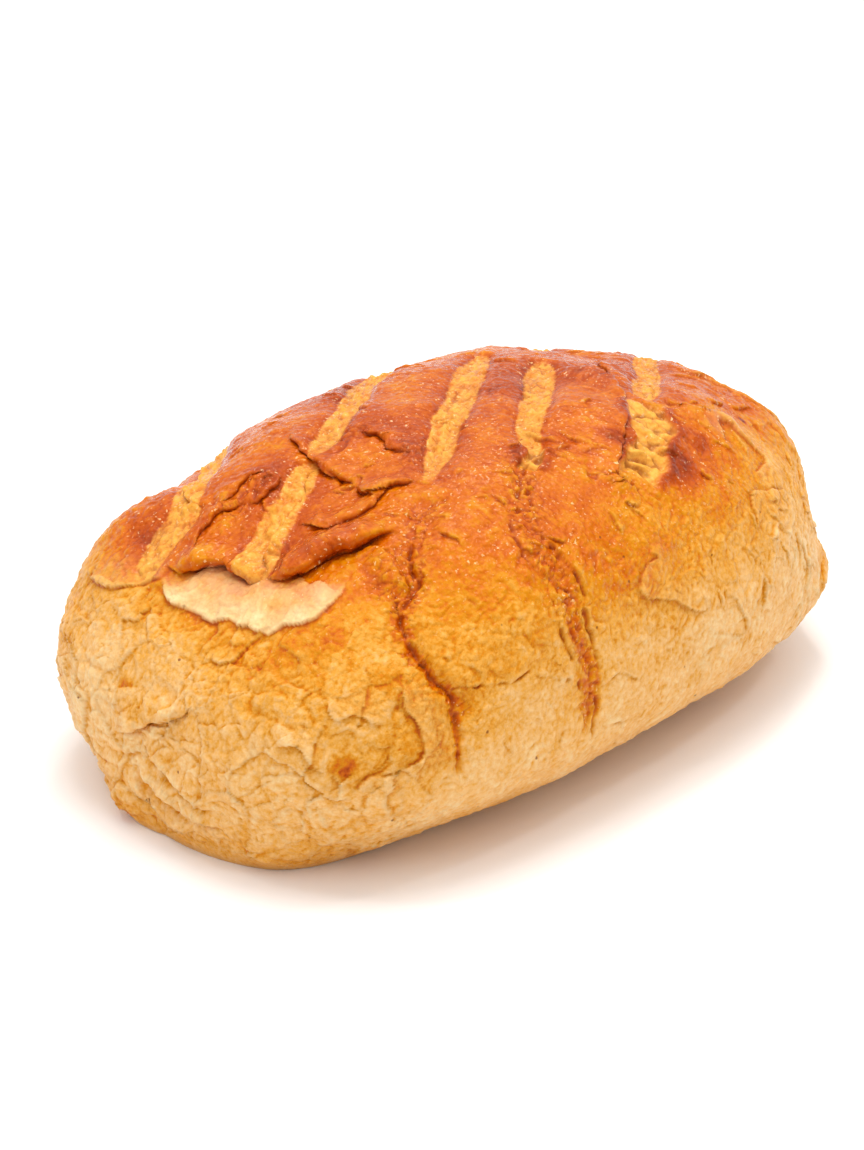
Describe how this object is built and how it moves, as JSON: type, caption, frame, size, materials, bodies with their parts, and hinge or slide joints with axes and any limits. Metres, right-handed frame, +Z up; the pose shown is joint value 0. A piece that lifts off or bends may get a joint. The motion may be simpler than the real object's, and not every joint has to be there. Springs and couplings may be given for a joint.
{
  "type": "tin loaf",
  "caption": "Large oval domed loaf of white bread with a glazed brown top, pale diagonal scores, cracked flaky crust and a flat underside to rest on.",
  "frame": {"origin": "middle of the flat underside, under the middle of the loaf's box", "axes": "+Z up, X along the loaf's length with +X towards the rounder end, Y across its width"},
  "size_m": [0.3002, 0.1974, 0.112],
  "materials": {
    "crust": "baked bread crust, glazed on top and satin below"
  },
  "bodies": {
    "root": {"loaf": "crust"}
  },
  "joints": []
}
